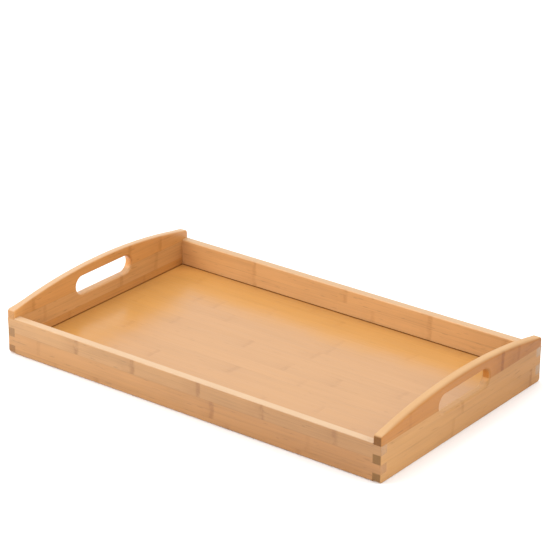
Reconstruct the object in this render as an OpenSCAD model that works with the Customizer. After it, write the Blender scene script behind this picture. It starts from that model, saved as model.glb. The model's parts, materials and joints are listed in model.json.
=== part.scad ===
// Serving tray of laminated bamboo: two long side boards and two arched end boards with hand
// slots, box-jointed at the corners, around a thin base panel that sits in a groove.
// Every board is glued up edge to edge from bamboo strips, and each strip is a sub-part.
// +Z is up. The origin is on the resting plane, under the middle of the tray.

/* [Tray] */
// Length over the end boards
tray_length = 500; // [400:5:600]
// Width over the side boards
tray_width = 300; // [240:5:360]
// Thickness of the side and end boards
board_thickness = 10; // [9:0.5:12]
// Radius of the four upright corners
corner_radius = 1.5; // [1:0.5:3]

/* [Side boards] */
// Height of a side board
side_height = 43.2; // [42.4:0.1:44]
// Height of the glue line above a side board's bottom strip
side_low_glue_line = 6.5; // [5:0.5:7]
// Height of the glue line below a side board's top strip
side_high_glue_line = 26; // [22:0.5:30]
// Radius along the top edges of a side board
side_top_radius = 2; // [1:0.5:4]

/* [End boards] */
// Height of an end board at its two ends
end_height = 52; // [50:0.5:52]
// Height of an end board in the middle of its arch
arch_height = 68; // [66:1:76]
// Radius along the arched top edges of an end board
arch_edge_radius = 4.5; // [1:0.5:4.5]
// Radius of an end board's corners, seen from the end of the tray
outline_radius = 4; // [2:0.5:5]
// Radius along the bottom edges of all boards
foot_radius = 2.5; // [0.5:0.5:3]

/* [Hand slots] */
// Length of a hand slot
slot_length = 94; // [85:1:120]
// Height of a hand slot
slot_height = 21; // [20:1:26]
// Height of a hand slot's centre line
slot_centre = 44.9; // [42:0.1:46]
// Radius that eases the rim of a hand slot on both faces
slot_rim_radius = 2.5; // [1:0.5:4]

/* [Base panel] */
// Thickness of the base panel
panel_thickness = 4; // [3:0.5:5]
// Height of the base panel's underside
panel_underside = 7.5; // [7:0.5:8]
// Number of strips across the base panel
panel_strips = 14; // [8:1:18]
// Depth of the groove in the boards
groove_depth = 5; // [3:0.5:6]
// Gap above the base panel in its groove
groove_gap = 0.8; // [0.2:0.1:0.8]
// Gap left between the base panel's rim and the back of its groove
rim_gap = 0.3; // [0.1:0.1:0.5]

/* [Hidden] */
$fn = 64;
arch_facets = 720;
margin = 1;

// Box joints: five fingers up each corner, three on the end board and two on the side board.
finger_count = 5;
finger_pitch = end_height / finger_count;

// Glue lines of an end board follow the fingers: each strip is two fingers high.
end_strip_height = 2 * finger_pitch;
end_strips = 3;

// Inside faces of the boards, as distances from the middle of the tray.
inner_x = tray_length / 2 - board_thickness;
inner_y = tray_width / 2 - board_thickness;

// The arch is part of one circle through both ends and the middle of an end board.
arch_rise = arch_height - end_height;
arch_radius = (pow(tray_width / 2, 2) + pow(arch_rise, 2)) / (2 * arch_rise);
arch_axis_height = arch_height - arch_radius;

// The groove for the base panel, and the panel's own size in it.
groove_height = panel_thickness + groove_gap;
panel_reach = groove_depth - rim_gap;
panel_length = 2 * (inner_x + panel_reach);
panel_width = 2 * (inner_y + panel_reach);
panel_strip_width = panel_width / panel_strips;

bamboo_side = [0.80, 0.62, 0.43];
bamboo_end = [0.78, 0.57, 0.38];
bamboo_base = [0.90, 0.72, 0.52];

side_strip_names = ["bottom", "middle", "top"];
side_glue_lines = [0, side_low_glue_line, side_high_glue_line, side_height];
panel_strip_names = [for (i = [1:panel_strips]) str("base_strip_", i)];

// Outline standing on the X axis, with one radius at its foot and one at its top.
module standing_section(width, height, foot, top) {
    translate([0, foot])
        square([width, height - foot - top]);
    translate([foot, 0])
        square([width - 2 * foot, height - top]);
    translate([top, foot])
        square([width - 2 * top, height - foot]);
    for (x = [foot, width - foot])
        translate([x, foot])
            circle(foot);
    for (x = [top, width - top])
        translate([x, height - top])
            circle(top);
}

// Upright bar with rounded corners, between two heights, set out from its centre.
module upright_bar(length, width, radius, low, high) {
    translate([0, 0, low])
        linear_extrude(high - low) {
            square([length, width - 2 * radius], center = true);
            square([length - 2 * radius, width], center = true);
            for (x = [-1, 1], y = [-1, 1])
                translate([x * (length / 2 - radius), y * (width / 2 - radius)])
                    circle(radius);
        }
}

// All of space between two heights, as far as the tray reaches.
module slice(low, high) {
    translate([-tray_length, -tray_width, low])
        cube([2 * tray_length, 2 * tray_width, high - low]);
}

// Front side board between its shoulders, with its groove.
module side_body() {
    difference() {
        translate([-inner_x, -tray_width / 2, 0])
            rotate([90, 0, 90])
                linear_extrude(2 * inner_x)
                    standing_section(board_thickness, side_height, foot_radius, side_top_radius);
        translate([-inner_x - margin, -inner_y - groove_depth, panel_underside])
            cube([2 * (inner_x + margin), groove_depth + margin, groove_height]);
    }
}

// Both ends of one side finger, counted up from the bottom of the corner.
module side_fingers(index) {
    intersection() {
        for (end = [-1, 1])
            translate([end * (inner_x + board_thickness / 2), -inner_y - board_thickness / 2, 0])
                translate([-board_thickness / 2, -board_thickness / 2, index * finger_pitch])
                    cube([board_thickness, board_thickness, finger_pitch]);
        upright_bar(tray_length, tray_width, corner_radius, -margin, arch_height);
    }
}

// One strip of the front side board: its stretch of the body, and its fingers.
module front_side_strip(index) {
    intersection() {
        side_body();
        slice(side_glue_lines[index], side_glue_lines[index + 1]);
    }
    if (index > 0)
        side_fingers(2 * index - 1);
}

module side_strip(side, index) {
    color(bamboo_side)
        if (side > 0)
            front_side_strip(index);
        else
            mirror([0, 1, 0])
                front_side_strip(index);
}

// Disc that gives the right end board its arched top, with both of its edges rounded.
module arch_disc() {
    flat = arch_radius - arch_edge_radius;
    translate([inner_x, 0, arch_axis_height])
        rotate([0, 90, 0])
            rotate_extrude($fn = arch_facets) {
                square([flat, board_thickness]);
                translate([0, arch_edge_radius])
                    square([arch_radius, board_thickness - 2 * arch_edge_radius]);
                for (x = [arch_edge_radius, board_thickness - arch_edge_radius])
                    translate([flat, x])
                        circle(arch_edge_radius);
            }
}

// Outline of an end board seen from the end of the tray, open above for the arch to cut.
module end_outline() {
    reach = tray_width / 2 - outline_radius;
    corner_height = arch_axis_height + sqrt(pow(arch_radius - outline_radius, 2) - pow(reach, 2));
    touch = reach * arch_radius / (arch_radius - outline_radius);
    translate([-tray_width / 2, outline_radius])
        square([tray_width, corner_height - outline_radius]);
    translate([-reach, 0])
        square([2 * reach, corner_height]);
    translate([-touch, corner_height])
        square([2 * touch, arch_height - corner_height + margin]);
    for (y = [-reach, reach], z = [outline_radius, corner_height])
        translate([y, z])
            circle(outline_radius);
}

// Right end board before its joints, groove and slot are cut.
module end_blank() {
    intersection() {
        arch_disc();
        translate([inner_x - margin, 0, 0])
            rotate([90, 0, 90])
                linear_extrude(board_thickness + 2 * margin)
                    end_outline();
        translate([inner_x, tray_width / 2, 0])
            rotate([90, 0, 0])
                linear_extrude(tray_width)
                    standing_section(board_thickness, arch_height + 2 * margin, foot_radius, margin);
        union() {
            upright_bar(tray_length, tray_width, corner_radius, -margin, side_top_finger());
            translate([inner_x + board_thickness / 2, 0, 0])
                upright_bar(board_thickness, tray_width, corner_radius, side_top_finger(),
                    arch_height + margin);
        }
    }
}

// Top of the highest side finger, where the end board stands clear of the side board.
function side_top_finger() = (finger_count - 1) * finger_pitch;

// Half of the section across a slot's rim: out from the centre line, and through the board.
module slot_half_section() {
    half = slot_height / 2;
    eased = half + slot_rim_radius;
    difference() {
        translate([0, -margin])
            square([eased, board_thickness + 2 * margin]);
        for (x = [slot_rim_radius, board_thickness - slot_rim_radius])
            translate([eased, x])
                circle(slot_rim_radius);
        translate([half, slot_rim_radius])
            square([2 * slot_rim_radius, board_thickness - 2 * slot_rim_radius]);
    }
}

// Cutter for the right hand slot: a straight run with a half-round end either way.
module slot_cutter() {
    straight = slot_length - slot_height;
    translate([inner_x, 0, slot_centre])
        rotate([0, 90, 0]) {
            for (y = [-1, 1])
                translate([0, y * straight / 2, 0])
                    rotate_extrude()
                        slot_half_section();
            for (turn = [0, 1])
                mirror([turn, 0, 0])
                    translate([0, straight / 2, 0])
                        rotate([90, 0, 0])
                            linear_extrude(straight)
                                slot_half_section();
        }
}

// Notches at both ends of the right end board, where one side finger passes through.
module end_notches(index) {
    for (y = [-1, 1])
        translate([inner_x - margin, y > 0 ? inner_y : -inner_y - board_thickness - margin,
            index * finger_pitch])
            cube([board_thickness + 2 * margin, board_thickness + margin, finger_pitch]);
}

// One strip of the right end board. The top strip runs on up to the arch.
module right_end_strip(index) {
    low = index * end_strip_height;
    high = index < end_strips - 1 ? low + end_strip_height : arch_height + margin;
    difference() {
        intersection() {
            end_blank();
            slice(low, high);
        }
        if (index < end_strips - 1)
            end_notches(2 * index + 1);
        if (index == 0)
            translate([inner_x - margin, -inner_y, panel_underside])
                cube([groove_depth + margin, 2 * inner_y, groove_height]);
        else
            slot_cutter();
    }
}

module end_strip(end, index) {
    color(bamboo_end)
        if (end > 0)
            right_end_strip(index);
        else
            mirror([1, 0, 0])
                right_end_strip(index);
}

// Region of the base panel: its rim reaches into all four grooves but clears the corners.
module panel_region() {
    translate([-panel_length / 2, -inner_y + rim_gap, panel_underside])
        cube([panel_length, 2 * (inner_y - rim_gap), panel_thickness]);
    translate([-inner_x + rim_gap, -panel_width / 2, panel_underside])
        cube([2 * (inner_x - rim_gap), panel_width, panel_thickness]);
}

// One lengthwise strip of the base panel, counted from the front.
module base_strip(index) {
    color(bamboo_base)
        intersection() {
            panel_region();
            translate([-tray_length, -panel_width / 2 + index * panel_strip_width, 0])
                cube([2 * tray_length, panel_strip_width, side_height]);
        }
}

for (index = [0:2]) {
    side_strip(1, index);
    side_strip(-1, index);
    end_strip(-1, index);
    end_strip(1, index);
}
for (index = [0:panel_strips - 1])
    base_strip(index);
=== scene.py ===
import json
from collections import namedtuple
from math import acos, asin, cos, pi, radians, sin, sqrt

import bmesh
import bpy
from mathutils import Matrix, Vector


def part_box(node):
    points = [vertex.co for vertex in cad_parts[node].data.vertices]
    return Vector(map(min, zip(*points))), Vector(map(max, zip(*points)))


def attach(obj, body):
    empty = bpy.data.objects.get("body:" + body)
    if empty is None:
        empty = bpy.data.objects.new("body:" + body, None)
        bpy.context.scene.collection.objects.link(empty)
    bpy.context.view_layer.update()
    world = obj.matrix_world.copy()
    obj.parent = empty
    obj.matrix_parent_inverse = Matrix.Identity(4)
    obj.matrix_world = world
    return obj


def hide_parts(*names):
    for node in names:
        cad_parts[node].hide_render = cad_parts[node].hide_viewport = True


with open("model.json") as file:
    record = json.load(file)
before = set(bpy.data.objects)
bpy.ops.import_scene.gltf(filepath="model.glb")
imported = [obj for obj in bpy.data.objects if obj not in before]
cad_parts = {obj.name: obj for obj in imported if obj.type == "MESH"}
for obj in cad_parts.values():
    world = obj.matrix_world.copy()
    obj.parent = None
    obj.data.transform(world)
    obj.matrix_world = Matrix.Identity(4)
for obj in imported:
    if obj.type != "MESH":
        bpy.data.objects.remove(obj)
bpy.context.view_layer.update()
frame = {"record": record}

# A serving tray of laminated bamboo. Each strip of each board is one piece. Metres.
MM = 0.001

# What the frame says about the boards.
OUTER = Vector(frame["record"]["size"]["bbox_m"]) / 2
ARCH_HEIGHT = 2 * OUTER.z
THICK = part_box("front_side_top_strip")[1].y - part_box("front_side_top_strip")[0].y
INNER = Vector((OUTER.x - THICK, OUTER.y - THICK, 0))
SIDE_GLUE_LINES = [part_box(f"front_side_{part}_strip")[0].z for part in ("bottom", "middle", "top")]
SIDE_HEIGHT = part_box("front_side_top_strip")[1].z
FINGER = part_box("right_end_bottom_strip")[1].z / 2
END_GLUE_LINES = [0, 2 * FINGER, 4 * FINGER]
END_HEIGHT = 5 * FINGER
PANEL_LOW, PANEL_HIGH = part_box("base_strip_1")[0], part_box("base_strip_14")[1]

# Roundings and the hand slot, as designed.
SIDE_TOP_RADIUS = 2 * MM
SIDE_FOOT_RADIUS = 2.5 * MM
ARCH_EDGE_RADIUS = 4.5 * MM
ARCH_INNER_RADIUS = 2 * MM
CORNER_RADIUS = 1.5 * MM
OUTLINE_RADIUS = 4 * MM
SLOT_RIM_RADIUS = 2.5 * MM
SLOT_RADIUS = 10.5 * MM
SLOT_STRAIGHT = 36.5 * MM
SLOT_CENTRE = 44.9 * MM
GROOVE_DEPTH = 5 * MM
GROOVE_GAP = 0.8 * MM
GROOVE_LOW = PANEL_LOW.z
GROOVE_HIGH = PANEL_HIGH.z + GROOVE_GAP
GROOVE_STOP = 0.2 * MM
RIM_GAP = 0.3 * MM
SLOT_TOP = SLOT_CENTRE + SLOT_RADIUS
SLOT_END = SLOT_STRAIGHT + SLOT_RADIUS

# The arch of an end board is part of one circle.
ARCH_RISE = ARCH_HEIGHT - END_HEIGHT
ARCH_RADIUS = (OUTER.y ** 2 + ARCH_RISE ** 2) / (2 * ARCH_RISE)
ARCH_AXIS = ARCH_HEIGHT - ARCH_RADIUS

# Where a small arc at each upper corner runs into the arch.
CORNER_ANGLE = acos((OUTER.y - OUTLINE_RADIUS) / (ARCH_RADIUS - OUTLINE_RADIUS))
CORNER_HEIGHT = ARCH_AXIS + (ARCH_RADIUS - OUTLINE_RADIUS) * sin(CORNER_ANGLE)
ARCH_TOUCH = ARCH_RADIUS * cos(CORNER_ANGLE)

# Length over which the arch's rounded edge grows from the corner's radius to its own.
ARCH_RUN_IN = 24 * MM

# Cuts across a rounded edge, as far apart as equal turns of its arc put them.
EDGE_STEPS = 8
EDGE_TURN = pi / 2 / EDGE_STEPS

# How near two coordinates have to be to count as one.
NEAR = 0.01 * MM


# ---------------------------------------------------------------- outlines and solids
# A strip is made lying along Y with its inner face at X = 0 and its outer face at X = THICK.

class Outline:
    """A closed outline in the plane X = 0, drawn from point to point."""

    def __init__(self, y, z):
        self.mesh = bmesh.new()
        self.first = self.pen = self.mesh.verts.new((0, y, z))

    def line(self, *points):
        for y, z in points:
            point = self.mesh.verts.new((0, y, z))
            self.mesh.edges.new((self.pen, point))
            self.pen = point

    def arc(self, y, z, angle, steps):
        """Turns the pen about (y, z), from +Y towards +Z where angle is positive."""
        spun = bmesh.ops.spin(self.mesh, geom=[self.pen], cent=(0, y, z), axis=(1, 0, 0),
                              angle=angle, steps=steps)
        self.pen = next(g for g in spun["geom_last"] if isinstance(g, bmesh.types.BMVert))

    def solid(self):
        """Closes the outline, and draws it out to the thickness of a board."""
        self.mesh.edges.new((self.pen, self.first))
        bmesh.ops.remove_doubles(self.mesh, verts=self.mesh.verts, dist=0.001 * MM)
        face = bmesh.ops.contextual_create(self.mesh, geom=self.mesh.edges[:])["faces"]
        drawn = bmesh.ops.extrude_face_region(self.mesh, geom=face)["geom"]
        moved = [g for g in drawn if isinstance(g, bmesh.types.BMVert)]
        bmesh.ops.translate(self.mesh, verts=moved, vec=(THICK, 0, 0))
        bmesh.ops.recalc_face_normals(self.mesh, faces=self.mesh.faces)
        return self.mesh


def block(low, high):
    mesh = bmesh.new()
    size = Vector(high) - Vector(low)
    place = Matrix.Translation((Vector(low) + Vector(high)) / 2)
    bmesh.ops.create_cube(mesh, size=1, matrix=place @ Matrix.Diagonal((*size, 1)))
    return mesh


def cut(mesh, axis, *places):
    """Divides every face that the planes across an axis pass through."""
    normal = [0, 0, 0]
    normal[axis] = 1
    for place in places:
        geometry = mesh.verts[:] + mesh.edges[:] + mesh.faces[:]
        bmesh.ops.bisect_plane(mesh, geom=geometry, dist=0.001 * MM,
                               plane_co=Vector(normal) * place, plane_no=normal)


def push(mesh, low, high, shift):
    """Draws out the flat faces whose middles lie between two corners."""
    faces = []
    for face in mesh.faces:
        middle = face.calc_center_median()
        if all(a <= m <= b for a, m, b in zip(low, middle, high)):
            faces.append(face)
    drawn = bmesh.ops.extrude_face_region(mesh, geom=faces)["geom"]
    moved = [g for g in drawn if isinstance(g, bmesh.types.BMVert)]
    bmesh.ops.delete(mesh, geom=faces, context="FACES")
    bmesh.ops.translate(mesh, verts=moved, vec=shift)


def round_edges(mesh, radius, chosen):
    """Rounds the edges for which chosen says yes to both ends."""
    edges = [e for e in mesh.edges if all(chosen(v.co) for v in e.verts)]
    bmesh.ops.bevel(mesh, geom=edges, offset=radius, segments=6, profile=0.5,
                    affect="EDGES", material=-1)


def same(a, b):
    return abs(a - b) < NEAR


def cut_groove(mesh, reach):
    """Cuts the groove for the base panel into the inner face of a strip."""
    stop = reach - GROOVE_STOP
    cut(mesh, 2, GROOVE_LOW, GROOVE_HIGH)
    cut(mesh, 1, -stop, stop)
    push(mesh, (-MM, -stop, GROOVE_LOW), (NEAR, stop, GROOVE_HIGH), (GROOVE_DEPTH, 0, 0))


def add_fingers(mesh, reach, low, high):
    """Draws a finger out of each end of a strip, between two heights."""
    cut(mesh, 2, low, high)
    for end in (-1, 1):
        y = end * reach
        push(mesh, (-MM, y - NEAR, low), (2 * THICK, y + NEAR, high), (0, end * THICK, 0))


# ---------------------------------------------------------------- strips of the side boards

def side_strip(part):
    """A strip of a side board. The middle and top ones each have a finger at both ends."""
    index = ("bottom", "middle", "top").index(part)
    low = SIDE_GLUE_LINES[index]
    high = (SIDE_GLUE_LINES + [SIDE_HEIGHT])[index + 1]
    mesh = block((0, -INNER.x, low), (THICK, INNER.x, high))
    if part == "bottom":
        for x in (0, THICK):
            round_edges(mesh, SIDE_FOOT_RADIUS, lambda co: same(co.z, low) and same(co.x, x))
        return mesh
    if part == "top":
        for x in (0, THICK):
            round_edges(mesh, SIDE_TOP_RADIUS, lambda co: same(co.z, high) and same(co.x, x))
    finger = 2 * index - 1
    add_fingers(mesh, INNER.x, finger * FINGER, (finger + 1) * FINGER)
    if part == "middle":
        cut_groove(mesh, INNER.x)
    for end in (-1, 1):
        round_edges(mesh, CORNER_RADIUS, lambda co: same(co.x, THICK) and same(co.y, end * OUTER.x))
    return mesh


# ---------------------------------------------------------------- strips of the end boards

def bottom_end_outline():
    corner = OUTER.y - OUTLINE_RADIUS
    outline = Outline(-corner, 0)
    outline.line((corner, 0))
    outline.arc(corner, OUTLINE_RADIUS, pi / 2, 8)
    outline.line((OUTER.y, FINGER), (INNER.y, FINGER), (INNER.y, 2 * FINGER),
                 (-INNER.y, 2 * FINGER), (-INNER.y, FINGER), (-OUTER.y, FINGER),
                 (-OUTER.y, OUTLINE_RADIUS))
    outline.arc(-corner, OUTLINE_RADIUS, pi / 2, 8)
    return outline


# Where the glue line between the middle and top strips meets the slot.
SLOT_GLUE_ANGLE = asin((SLOT_CENTRE - END_GLUE_LINES[2]) / SLOT_RADIUS)
SLOT_GLUE_Y = SLOT_STRAIGHT + SLOT_RADIUS * cos(SLOT_GLUE_ANGLE)


def middle_end_outline():
    low, high = END_GLUE_LINES[1], END_GLUE_LINES[2]
    turn = pi / 2 - SLOT_GLUE_ANGLE
    outline = Outline(-OUTER.y, low)
    outline.line((OUTER.y, low), (OUTER.y, low + FINGER), (INNER.y, low + FINGER),
                 (INNER.y, high), (SLOT_GLUE_Y, high))
    outline.arc(SLOT_STRAIGHT, SLOT_CENTRE, -turn, 12)
    outline.line((-SLOT_STRAIGHT, SLOT_CENTRE - SLOT_RADIUS))
    outline.arc(-SLOT_STRAIGHT, SLOT_CENTRE, -turn, 12)
    outline.line((-INNER.y, high), (-INNER.y, low + FINGER), (-OUTER.y, low + FINGER))
    return outline


def top_end_outline():
    low = END_GLUE_LINES[2]
    turn = pi / 2 + SLOT_GLUE_ANGLE
    corner = OUTER.y - OUTLINE_RADIUS
    outline = Outline(-OUTER.y, low)
    outline.line((-SLOT_GLUE_Y, low))
    outline.arc(-SLOT_STRAIGHT, SLOT_CENTRE, -turn, 16)
    outline.line((SLOT_STRAIGHT, SLOT_CENTRE + SLOT_RADIUS))
    outline.arc(SLOT_STRAIGHT, SLOT_CENTRE, -turn, 16)
    outline.line((OUTER.y, low), (OUTER.y, CORNER_HEIGHT))
    outline.arc(corner, CORNER_HEIGHT, CORNER_ANGLE, 8)
    outline.arc(0, ARCH_AXIS, pi - 2 * CORNER_ANGLE, 90)
    outline.arc(-corner, CORNER_HEIGHT, CORNER_ANGLE, 8)
    return outline


END_OUTLINES = {"bottom": bottom_end_outline, "middle": middle_end_outline, "top": top_end_outline}


def rounding(point, part):
    """Radius of the rounded edge at a point of an end board's outline, and which way it stands back."""
    corner = OUTER.y - OUTLINE_RADIUS
    side = 1 if point.y > 0 else -1
    flat = Vector((0, point.y, point.z))
    if part != "bottom" and abs(point.z - SLOT_CENTRE) < SLOT_RADIUS + MM:
        if abs(point.y) < SLOT_STRAIGHT + SLOT_RADIUS + MM:
            axis = Vector((0, min(max(point.y, -SLOT_STRAIGHT), SLOT_STRAIGHT), SLOT_CENTRE))
            return SLOT_RIM_RADIUS, (flat - axis).normalized()
    if same(abs(point.y), OUTER.y):
        return CORNER_RADIUS, Vector((0, -side, 0))
    if part == "bottom" and point.z < OUTLINE_RADIUS:
        axis = Vector((0, min(max(point.y, -corner), corner), OUTLINE_RADIUS))
        return CORNER_RADIUS, (axis - flat).normalized()
    if part == "top" and abs(point.y) > ARCH_TOUCH:
        return CORNER_RADIUS, (Vector((0, side * corner, CORNER_HEIGHT)) - flat).normalized()
    if part == "top" and point.z > END_GLUE_LINES[2] + MM:
        share = min((ARCH_TOUCH - abs(point.y)) / ARCH_RUN_IN, 1)
        radius = CORNER_RADIUS + (ARCH_EDGE_RADIUS - CORNER_RADIUS) * share * (2 - share)
        return radius, (Vector((0, 0, ARCH_AXIS)) - flat).normalized()
    return 0, Vector()


def ease_outline(mesh, part):
    """Rounds the edges of an end board's strip by standing each cut through it back."""
    depths = [ARCH_EDGE_RADIUS * (1 - cos(EDGE_TURN * step)) for step in range(1, EDGE_STEPS + 1)]
    cut(mesh, 0, *(THICK - depth for depth in depths))
    if part != "bottom":
        cut(mesh, 0, *depths)
    for point in [v.co for v in mesh.verts]:
        radius, back = rounding(point, part)
        on_rim = radius == SLOT_RIM_RADIUS
        if not on_rim and point.x < THICK / 2:
            radius = min(radius, ARCH_INNER_RADIUS)
        both_faces = part == "top" or on_rim
        depth = min(point.x, THICK - point.x) if both_faces else THICK - point.x
        inset = max(radius - depth, 0)
        shift = radius - sqrt(radius ** 2 - inset ** 2)
        if on_rim and same(point.z, END_GLUE_LINES[2]):
            drop = SLOT_CENTRE - END_GLUE_LINES[2]
            reach = SLOT_STRAIGHT + sqrt((SLOT_RADIUS + shift) ** 2 - drop ** 2)
            point.y = reach if point.y > 0 else -reach
        else:
            point += back * shift


def end_strip(part):
    mesh = END_OUTLINES[part]().solid()
    ease_outline(mesh, part)
    if part == "bottom":
        cut_groove(mesh, INNER.y)
        round_edges(mesh, SIDE_FOOT_RADIUS,
                    lambda co: same(co.x, 0) and same(co.z, 0) and abs(co.y) < INNER.y)
    return mesh


# ---------------------------------------------------------------- strips of the base panel

def base_strip(index):
    """A strip of the panel. The front and back ones have a lip that stops short of the corners."""
    low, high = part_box(f"base_strip_{index}")
    edge = INNER.y - RIM_GAP
    stop = INNER.x - RIM_GAP
    body_low = Vector((low.x, max(low.y, -edge), low.z))
    body_high = Vector((high.x, min(high.y, edge), high.z))
    mesh = block(body_low, body_high)
    for side, lip in ((-1, low.y), (1, high.y)):
        if abs(lip) > edge:
            cut(mesh, 0, -stop, stop)
            y = side * edge
            push(mesh, (-stop, y - NEAR, 0), (stop, y + NEAR, ARCH_HEIGHT), (0, lip - y, 0))
    return mesh


# ---------------------------------------------------------------- finishes

class Graph:
    """Adds nodes to a material, and links what they are given."""

    def __init__(self, name):
        self.material = bpy.data.materials.new(name)
        self.material.use_nodes = True
        self.tree = self.material.node_tree
        self.tree.nodes.clear()

    def add(self, kind, inputs=(), **settings):
        made = self.tree.nodes.new(kind)
        for name, value in settings.items():
            setattr(made, name, value)
        for name, value in dict(inputs).items():
            self.put(made.inputs[name], value)
        return made

    def put(self, socket, value):
        if isinstance(value, bpy.types.NodeSocket):
            self.tree.links.new(value, socket)
        else:
            socket.default_value = value

    def split(self, vector):
        return self.add("ShaderNodeSeparateXYZ", {0: vector}).outputs

    def math(self, operation, *values):
        made = self.add("ShaderNodeMath", operation=operation)
        for socket, value in zip(made.inputs, values):
            self.put(socket, value)
        return made.outputs[0]

    def spread(self, value, low, high, to_low=0.0, to_high=1.0):
        """Maps a value smoothly from one range to another, and holds it at the ends."""
        made = self.add("ShaderNodeMapRange", {"Value": value, "From Min": low, "From Max": high,
                                               "To Min": to_low, "To Max": to_high},
                        interpolation_type="SMOOTHSTEP")
        return made.outputs[0]

    def noise(self, vector, scale, offset, detail=3):
        """Noise stretched by a different frequency along each axis, per metre."""
        placed = self.add("ShaderNodeMapping", {"Vector": vector, "Scale": scale,
                                                "Location": offset})
        made = self.add("ShaderNodeTexNoise", {"Vector": placed.outputs[0], "Scale": 1.0,
                                               "Detail": detail, "Roughness": 0.55})
        return made.outputs[0]

    def ramp(self, value, stops):
        """Colours a value by stops, each a place from 0 to 1 and a colour."""
        made = self.add("ShaderNodeValToRGB", {0: value})
        elements = made.color_ramp.elements
        while len(elements) < len(stops):
            elements.new(0.5)
        for element, (place, colour) in zip(elements, stops):
            element.position = place
            element.color = (*colour, 1)
        return made.outputs[0]

    def mix(self, factor, first, second, blend_type="MIX"):
        """Mixes two colours, whose sockets come after those for numbers and vectors."""
        made = self.add("ShaderNodeMix", data_type="RGBA", blend_type=blend_type)
        self.put(made.inputs[0], factor)
        self.put(made.inputs[6], first)
        self.put(made.inputs[7], second)
        return made.outputs[2]

    def tint(self, colour, shade):
        return self.mix(1.0, colour, shade, "MULTIPLY")


# How a strip looks: how much darker its far end is, as painted falloff of the light; the weight of its
# lacquer;
# the colour that it is rubbed to, a painted highlight on upward faces that is also wear on arrises; and
# how strong its grain is.
Look = namedtuple("Look", "fade gloss rubbed_tone figure")

# A strip: the axis that it lies along, the axis across its glue lines and where those lines are,
# its tone, the seed of its grain, its knots, half its length, the shade of its end grain, its look.
Strip = namedtuple("Strip", "along across seams tone seed knots reach end_shade look")

# Grain patterns, as frequencies per metre along a strip and across it.
FIBRES = (14, 900)
BUNDLES = (9, 420)
STREAKS = (5, 90)
CLOUDS = (14, 40)
FLECKS = (60, 520)

# Frequencies per metre of patterns that are the same every way.
PORES = 900.0
KNOT_WANDER = (50, 50, 50)
KNOT_PATCHES = (130, 130, 130)
WALL_WOBBLE = (16, 16, 16)

# Shading of a knot along its strip: distance from its middle in mm, and share of its full depth.
# It darkens slowly, and ends sharply.
KNOT_PROFILE = ((-24, 0), (-4, 1 / 3), (-2, 1), (1.5, 1), (3, 0))

# How much faster green and blue darken in a knot than red does.
KNOT_FALL = (1, 1.3, 1.7)

# How far a knot wanders as it crosses its strip.
KNOT_SWING = 9 * MM

# Brightness of the end grain in a hand slot, against the strip's own tone: painted light that lifts the
# slot's shaded end walls.
SLOT_GRAIN_PAINTED_LIGHT = 1.35

# Painted light and shade on the panel, by distance from the walls: full up to the first, and gone at
# the second.
# The corner's is the distance from its two walls added up, and the first two bands wander.
BACK_REFLECTION_BAND = (40 * MM, 85 * MM)
LEFT_REFLECTION_BAND = (45 * MM, 100 * MM)
CORNER_LIGHT_BAND = (20 * MM, 70 * MM)
GAP_SHADE_BAND = (0.2 * MM, 1.5 * MM)
BAND_SWING = 50 * MM
# Painted reflection of the walls in the panel's lacquer: warmer near the back and left walls.
WALL_REFLECTION_TINT = (1.06, 1.0, 0.63, 1)
# Painted light: the panel is lighter and cooler in the back left corner.
CORNER_LIGHT_TINT = (1.2, 1.2, 1.3, 1)
# Painted shade: the panel's rim is darker where it runs into the gap under the walls.
GAP_SHADE_TINT = (0.62, 0.42, 0.25, 1)
WHITE = (1, 1, 1, 1)


def seed_offset(strip):
    """Moves the noise, so that no two strips have the same grain."""
    return (strip.seed * 3.7, strip.seed * 5.3, strip.seed * 7.1)


def grain(graph, strip, position, frequencies, detail=2):
    """Noise that is drawn out along a strip."""
    lengthwise, crosswise = frequencies
    scale = tuple(lengthwise if axis == strip.along else crosswise for axis in range(3))
    return graph.noise(position, scale, seed_offset(strip), detail=detail)


def wood_colour(graph, strip, patterns):
    """The strip's tone, lighter and darker with the mean of its grain patterns."""
    value = 0.0
    for pattern in patterns:
        value = graph.math("MULTIPLY_ADD", pattern, 1 / len(patterns), value)
    figure = strip.look.figure
    dark = [c * (1 - 0.16 * figure) for c in strip.tone]
    light = [c * (1 + 0.1 * figure) for c in strip.tone]
    return graph.ramp(value, [(0.38, dark), (0.5, strip.tone), (0.64, light)])


def paint_falloff_lengthwise(graph, strip, parts, colour):
    """Painted falloff of the light: the strip is lighter at one end, and darker and warmer at the
    other.
    """
    fade = strip.look.fade
    near = 1 + 0.5 * fade
    near_end = (near, near, near, 1)
    far_end = (1 - 0.5 * fade, 1 - 0.8 * fade, 1 - 1.2 * fade, 1)
    travel = graph.spread(parts[strip.along], -strip.reach, strip.reach)
    return graph.tint(colour, graph.mix(travel, near_end, far_end))


def add_flecks(graph, strip, position, colour):
    """Short dark dashes along the grain."""
    flecks = grain(graph, strip, position, FLECKS, detail=1)
    return graph.tint(colour, graph.spread(flecks, 0.66, 0.76, 1.0, 1 - 0.22 * strip.look.figure))


def knot_stops(knots, reach):
    """Stops of a ramp over a strip's length that shades each of its knots."""
    stops = [(0.0, (1, 1, 1))]
    for place, depth in sorted(knots):
        for distance, share in KNOT_PROFILE:
            stop = (place + distance) * MM / (2 * reach) + 0.5
            shade = tuple(1 - share * fall * depth for fall in KNOT_FALL)
            stops.append((min(max(stop, 0), 1), shade))
    return stops


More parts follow.
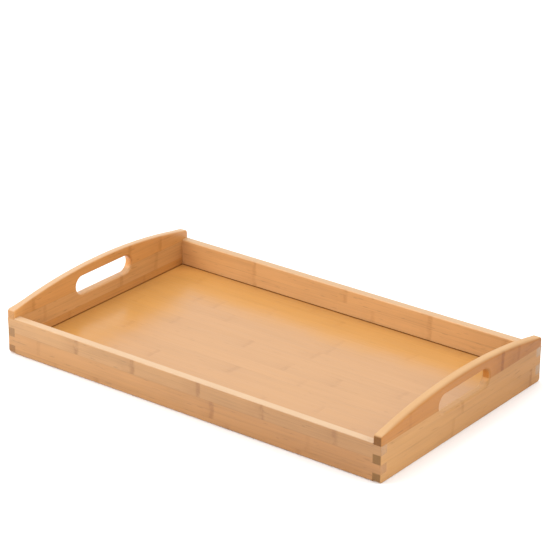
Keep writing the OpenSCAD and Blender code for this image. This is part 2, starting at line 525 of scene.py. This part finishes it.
def add_knots(graph, strip, position, parts, colour):
    """Shades the knots, which wander a little and are fainter in patches."""
    wander = graph.noise(position, KNOT_WANDER, seed_offset(strip))
    place = graph.math("MULTIPLY_ADD", wander, KNOT_SWING, parts[strip.along])
    place = graph.math("ADD", place, strip.reach - KNOT_SWING / 2)
    place = graph.math("DIVIDE", place, 2 * strip.reach)
    knotted = graph.tint(colour, graph.ramp(place, knot_stops(strip.knots, strip.reach)))
    patches = graph.noise(position, KNOT_PATCHES, seed_offset(strip), detail=2)
    return graph.mix(graph.spread(patches, 0.3, 0.55, 0.35, 1.0), colour, knotted)


def add_glue_lines(graph, strip, parts, colour):
    """A fine darker line where the strip is glued to its neighbour."""
    for seam in strip.seams:
        distance = graph.math("ABSOLUTE", graph.math("SUBTRACT", parts[strip.across], seam))
        shade = graph.spread(distance, 0.1 * MM, 0.5 * MM, 1 - 0.1 * strip.look.figure, 1.0)
        colour = graph.tint(colour, shade)
    return colour


def end_grain(graph, strip, from_middle, pores):
    """Colour of the strip cut across: one shade on its fingers, and a lighter one in the hand slot,
    which is painted light.
    """
    red, green, blue = strip.tone
    finger_start = strip.reach - THICK - 2 * MM
    shade = graph.spread(from_middle, finger_start, finger_start + MM,
                         SLOT_GRAIN_PAINTED_LIGHT, strip.end_shade)
    return graph.tint(graph.tint((red, green * 0.95, blue * 0.84, 1), shade), pores)


def sheen_and_rubbing(graph, strip, parts, facing, from_middle, clouds):
    """How far the lacquer is rubbed and painted lighter: a little on arrises, as wear and painted
    highlight, and most on a board's upward faces, as painted highlight.

    The panel's face gets none of it, and the floor of the hand slot gets half as much.
    """
    is_panel = strip.across == 1
    is_end_board = strip.along == 1
    sheen_and_rubbed = graph.spread(facing[2], 0.3, 1.0, 0.0, 0.0 if is_panel else 1.0)
    if is_end_board:
        above_slot = graph.spread(parts[2], SLOT_TOP + MM, SLOT_TOP + 2 * MM, 0.5, 1.0)
        beside_slot = graph.spread(from_middle, SLOT_END + 3 * MM, SLOT_END + 8 * MM)
        sheen_and_rubbed = graph.math("MULTIPLY", sheen_and_rubbed, graph.math("MAXIMUM", above_slot, beside_slot))
    squareness = graph.math("ABSOLUTE", facing[0])
    for axis in (1, 2):
        squareness = graph.math("MAXIMUM", squareness, graph.math("ABSOLUTE", facing[axis]))
    sheen_and_rubbed = graph.math("MAXIMUM", sheen_and_rubbed, graph.spread(squareness, 0.96, 0.8, 0.0, 0.15))
    return graph.math("MULTIPLY", sheen_and_rubbed, graph.spread(clouds, 0.3, 0.7, 0.85, 1.0))


def past(graph, part, wall):
    """Distance beyond a pair of walls, which is negative between them."""
    return graph.math("SUBTRACT", graph.math("ABSOLUTE", part), wall)


def paint_wall_light_and_shade(graph, position, parts, colour):
    """Paints the walls' reflection in the lacquer on the panel near the back and left walls, painted
    light in their corner, and painted shade at the rim in the gap under the walls.
    """
    wobble = graph.noise(position, WALL_WOBBLE, (2, 5, 1))
    towards_left = graph.math("MULTIPLY_ADD", wobble, BAND_SWING, parts[0])
    towards_back = graph.math("MULTIPLY_ADD", wobble, BAND_SWING, parts[1])
    left = [band - INNER.x + BAND_SWING / 2 for band in LEFT_REFLECTION_BAND]
    back = [INNER.y - band + BAND_SWING / 2 for band in BACK_REFLECTION_BAND]
    near_left = graph.spread(towards_left, left[0], left[1], 1.0, 0.0)
    near_back = graph.spread(towards_back, back[0], back[1], 1.0, 0.0)
    # Painted reflection of the back and left walls in the panel's lacquer.
    wall_reflection = graph.math("MAXIMUM", near_back, near_left)
    colour = graph.tint(colour, graph.mix(wall_reflection, WHITE, WALL_REFLECTION_TINT))

    # Painted light in the corner between the back and left walls.
    from_corner = graph.math("SUBTRACT", parts[0], parts[1])
    from_corner = graph.math("ADD", from_corner, INNER.x + INNER.y)
    corner = graph.spread(from_corner, *CORNER_LIGHT_BAND, 1.0, 0.0)
    colour = graph.tint(colour, graph.mix(corner, WHITE, CORNER_LIGHT_TINT))

    # Painted shade in the gap where the panel's rim runs under the walls.
    outwards = graph.math("MAXIMUM", past(graph, parts[0], INNER.x), past(graph, parts[1], INNER.y))
    gap_shade = graph.spread(outwards, -GAP_SHADE_BAND[1], -GAP_SHADE_BAND[0])
    return graph.mix(gap_shade, colour, graph.tint(colour, GAP_SHADE_TINT))


def bamboo(name, strip):
    """Lacquered bamboo for one strip."""
    graph = Graph(name)
    place = graph.add("ShaderNodeTexCoord")
    position = place.outputs["Object"]
    parts = graph.split(position)
    facing = graph.split(place.outputs["Normal"])
    from_middle = graph.math("ABSOLUTE", parts[strip.along])
    fibres = grain(graph, strip, position, FIBRES)
    bundles = grain(graph, strip, position, BUNDLES)
    streaks = grain(graph, strip, position, STREAKS, detail=3)
    clouds = grain(graph, strip, position, CLOUDS)

    colour = wood_colour(graph, strip, (fibres, bundles, streaks, clouds))
    colour = paint_falloff_lengthwise(graph, strip, parts, colour)
    colour = add_flecks(graph, strip, position, colour)
    colour = add_knots(graph, strip, position, parts, colour)
    colour = add_glue_lines(graph, strip, parts, colour)

    cut_across = graph.spread(graph.math("ABSOLUTE", facing[strip.along]), 0.55, 0.95)
    cells = graph.add("ShaderNodeTexVoronoi", {"Vector": position, "Scale": PORES})
    pores = graph.spread(cells.outputs["Distance"], 0.1, 0.5, 0.75, 1.0)
    colour = graph.mix(cut_across, colour, end_grain(graph, strip, from_middle, pores))

    # Painted highlight: upward faces and arrises are mixed towards a paler tone. On the arrises it also
    # stands for wear.
    sheen_and_wear = sheen_and_rubbing(graph, strip, parts, facing, from_middle, clouds)
    colour = graph.mix(sheen_and_wear, colour, (*strip.look.rubbed_tone, 1))
    # The panel gets painted reflection, light and shade from the walls.
    if strip.across == 1:
        colour = paint_wall_light_and_shade(graph, position, parts, colour)

    roughness = graph.spread(fibres, 0.3, 0.7, 0.40, 0.52)
    roughness = graph.math("MULTIPLY_ADD", sheen_and_wear, 0.12, roughness)
    height = graph.math("MULTIPLY_ADD", bundles, 0.5, fibres)
    height = graph.math("MULTIPLY_ADD", pores, cut_across, height)
    bump = graph.add("ShaderNodeBump", {"Height": height, "Strength": 0.12, "Distance": 0.2 * MM})
    gloss = strip.look.gloss
    shader = graph.add("ShaderNodeBsdfPrincipled",
                       {"Base Color": colour, "Roughness": roughness, "IOR": 1.5,
                        "Specular IOR Level": 0.15 + 0.2 * gloss, "Coat Weight": gloss,
                        "Coat Roughness": 0.24, "Normal": bump.outputs[0]})
    graph.add("ShaderNodeOutputMaterial", {"Surface": shader.outputs[0]})
    return graph.material


def floor_paper():
    graph = Graph("studio_paper")
    place = graph.add("ShaderNodeTexCoord")
    mottle = graph.noise(place.outputs["Object"], scale=(3, 3, 3), offset=(0, 0, 0))
    shade = graph.ramp(mottle, [(0.3, (0.91, 0.91, 0.91)), (0.7, (0.94, 0.94, 0.94))])
    shader = graph.add("ShaderNodeBsdfPrincipled", {"Base Color": shade, "Roughness": 0.9,
                                                    "Specular IOR Level": 0.1})
    graph.add("ShaderNodeOutputMaterial", {"Surface": shader.outputs[0]})
    return graph.material


# ---------------------------------------------------------------- pieces

# Edges that turn by more than this stay sharp when a piece is shaded smooth.
CREASE = radians(30)


def finish_piece(mesh, name, node, material):
    """Turns a built mesh into a piece that stands for its CAD node."""
    bmesh.ops.recalc_face_normals(mesh, faces=mesh.faces)
    for face in mesh.faces:
        face.smooth = True
    for edge in mesh.edges:
        if edge.calc_face_angle(0) > CREASE:
            edge.smooth = False
    data = bpy.data.meshes.new(name)
    mesh.to_mesh(data)
    mesh.free()
    data.materials.append(material)
    piece = bpy.data.objects.new(name, data)
    bpy.context.scene.collection.objects.link(piece)
    flat = piece.modifiers.new("flat_faces", "WEIGHTED_NORMAL")
    flat.keep_sharp = True
    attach(piece, "root")
    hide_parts(node)


LIGHT = (0.52, 0.267, 0.094)
WARM = (0.52, 0.245, 0.072)
FAIR = (0.51, 0.280, 0.112)
AMBER = (0.49, 0.222, 0.058)
DEEP = (0.45, 0.184, 0.042)
PALE = (0.475, 0.240, 0.083)

# Turn about Z, and shift, that takes a strip from the bench to its board.
BOARDS = {
    "front_side": (-90, Vector((0, -INNER.y, 0))),
    "back_side": (90, Vector((0, INNER.y, 0))),
    "left_end": (180, Vector((-INNER.x, 0, 0))),
    "right_end": (0, Vector((INNER.x, 0, 0))),
}

# How pale each board is against its strips' tones, partly its own tone and partly painted light and
# shade for how light falls on each board, and its look.
BOARD_LOOKS = {
    "front_side": (0.83, Look(fade=0.22, gloss=0.7, rubbed_tone=(0.56, 0.37, 0.21), figure=1.0)),
    "back_side": (1.36, Look(fade=0.0, gloss=0.7, rubbed_tone=(0.49, 0.30, 0.15), figure=0.8)),
    "left_end": (1.09, Look(fade=0.15, gloss=0.5, rubbed_tone=(0.54, 0.335, 0.18), figure=1.0)),
    "right_end": (0.87, Look(fade=0.22, gloss=0.12, rubbed_tone=(0.54, 0.325, 0.155), figure=1.0)),
}
PANEL_LOOK = Look(fade=0.0, gloss=0.9, rubbed_tone=PALE, figure=0.4)
PANEL_END_SHADE = 0.6
PANEL_SEED = 20

# Each strip's tone, shade of its end grain, and knots: place along it in mm, and depth.
STRIPS = {
    ("front_side", "bottom"): (WARM, 1.0, [(-180, 0.12), (-120, 0.16), (60, 0.16), (150, 0.14)]),
    ("front_side", "middle"): (WARM, 0.98, [(-205, 0.1), (37, 0.24), (160, 0.08)]),
    ("front_side", "top"): (LIGHT, 0.98, [(-149, 0.28), (-71, 0.26), (18, 0.26), (101, 0.24),
                                          (193, 0.2)]),
    ("back_side", "bottom"): (WARM, 0.45, [(-150, 0.1), (-30, 0.15)]),
    ("back_side", "middle"): (FAIR, 0.45, [(-132, 0.16), (35, 0.1), (112, 0.14)]),
    ("back_side", "top"): (FAIR, 0.45, [(-132, 0.16), (-2, 0.14), (114, 0.14), (210, 0.12)]),
    ("left_end", "bottom"): (AMBER, 0.55, [(-60, 0.1), (70, 0.1)]),
    ("left_end", "middle"): (LIGHT, 0.55, [(-100, 0.1), (29, 0.14), (92, 0.1)]),
    ("left_end", "top"): (WARM, 0.85, [(-117, 0.16), (46, 0.16), (100, 0.16)]),
    ("right_end", "bottom"): (LIGHT, 0.5, [(-20, 0.08), (132, 0.26)]),
    ("right_end", "middle"): (LIGHT, 0.5, [(-3, 0.14)]),
    ("right_end", "top"): (DEEP, 0.5, [(-100, 0.06), (72, 0.3), (104, 0.16)]),
}

# Knots of the base panel's strips, from the front strip to the back one.
PANEL_KNOTS = (
    [(-208, 0.06), (-20, 0.05)], [(-66, 0.06), (141, 0.06)], [(-150, 0.05), (56, 0.06)],
    [(-107, 0.10), (118, 0.05)], [(-12, 0.09), (204, 0.05)], [(-178, 0.09), (66, 0.05)],
    [(30, 0.10), (95, 0.10)], [(-143, 0.08), (-40, 0.10), (168, 0.08)], [(37, 0.09), (-214, 0.05)],
    [(42, 0.07), (-98, 0.05)], [(-160, 0.08), (-132, 0.08), (39, 0.06)], [(-70, 0.05), (122, 0.06)],
    [(-190, 0.05), (8, 0.05)], [(-36, 0.05), (160, 0.05)],
)


def build_boards():
    for seed, ((board, part), (tone, end_shade, knots)) in enumerate(STRIPS.items(), start=1):
        is_side = board.endswith("side")
        mesh = side_strip(part) if is_side else end_strip(part)
        turn, shift = BOARDS[board]
        place = Matrix.Translation(shift) @ Matrix.Rotation(radians(turn), 4, "Z")
        bmesh.ops.transform(mesh, matrix=place, verts=mesh.verts)
        paleness_and_light, look = BOARD_LOOKS[board]
        strip = Strip(along=0 if is_side else 1, across=2,
                      seams=(SIDE_GLUE_LINES if is_side else END_GLUE_LINES)[1:],
                      tone=[c * paleness_and_light for c in tone], seed=seed, knots=knots,
                      reach=OUTER.x if is_side else OUTER.y, end_shade=end_shade, look=look)
        finish_piece(mesh, f"{board}_{part}", f"{board}_{part}_strip",
                     bamboo(f"bamboo_{board}_{part}", strip))


def build_panel():
    for index, knots in enumerate(PANEL_KNOTS, start=1):
        node = f"base_strip_{index}"
        low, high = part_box(node)
        tone = [c * (1 + 0.012 * sin(index * 2.3)) for c in PALE]
        strip = Strip(along=0, across=1, seams=[low.y, high.y], tone=tone,
                      seed=PANEL_SEED + index, knots=knots, reach=OUTER.x,
                      end_shade=PANEL_END_SHADE, look=PANEL_LOOK)
        finish_piece(base_strip(index), f"panel_{index}", node,
                     bamboo(f"bamboo_panel_{index}", strip))


# ---------------------------------------------------------------- studio

FLOOR_REACH = 12


def build_floor():
    mesh = bmesh.new()
    bmesh.ops.create_grid(mesh, x_segments=1, y_segments=1, size=FLOOR_REACH)
    data = bpy.data.meshes.new("studio_floor")
    mesh.to_mesh(data)
    mesh.free()
    data.materials.append(floor_paper())
    floor = bpy.data.objects.new("studio_floor", data)
    bpy.context.scene.collection.objects.link(floor)


def aim(thing, target, roll=0.0):
    """Points a camera or lamp at a place."""
    away = (thing.location - target).normalized()
    thing.rotation_euler = (away.to_track_quat("Z", "Y").to_matrix()
                            @ Matrix.Rotation(roll, 3, "Z")).to_euler()


def softbox(name, location, target, size, watts):
    data = bpy.data.lights.new(name, "AREA")
    data.shape = "RECTANGLE"
    data.size, data.size_y = size
    data.energy = watts
    lamp = bpy.data.objects.new(name, data)
    bpy.context.scene.collection.objects.link(lamp)
    lamp.location = location
    aim(lamp, Vector(target))


def build_light():
    world = bpy.data.worlds.new("studio")
    bpy.context.scene.world = world
    world.use_nodes = True
    background = world.node_tree.nodes["Background"]
    background.inputs["Color"].default_value = WHITE
    background.inputs["Strength"].default_value = 1.0
    softbox("overhead", (-0.3, 0.2, 2.2), (0, 0, 0), (2.4, 1.8), 24)
    softbox("key", (-1.1, -1.2, 1.3), (0, 0, 0.03), (0.8, 0.8), 13)
    softbox("fill", (1.5, 0.5, 1.3), (0, 0, 0.03), (0.8, 0.8), 8)


def build_camera():
    data = bpy.data.cameras.new("camera")
    data.lens = 155.9
    data.sensor_width = 36
    camera = bpy.data.objects.new("camera", data)
    bpy.context.scene.collection.objects.link(camera)
    azimuth, elevation, roll = radians(37.15), radians(23.223), radians(0.421)
    distance = 2.7685
    target = Vector((-0.11468, 0.15674, 0.025))
    back = Vector((sin(azimuth) * cos(elevation), -cos(azimuth) * cos(elevation), sin(elevation)))
    camera.location = target + back * distance
    aim(camera, target, roll)
    bpy.context.scene.camera = camera


build_camera()
build_light()
build_floor()
build_boards()
build_panel()
bpy.context.scene.view_settings.view_transform = "Standard"
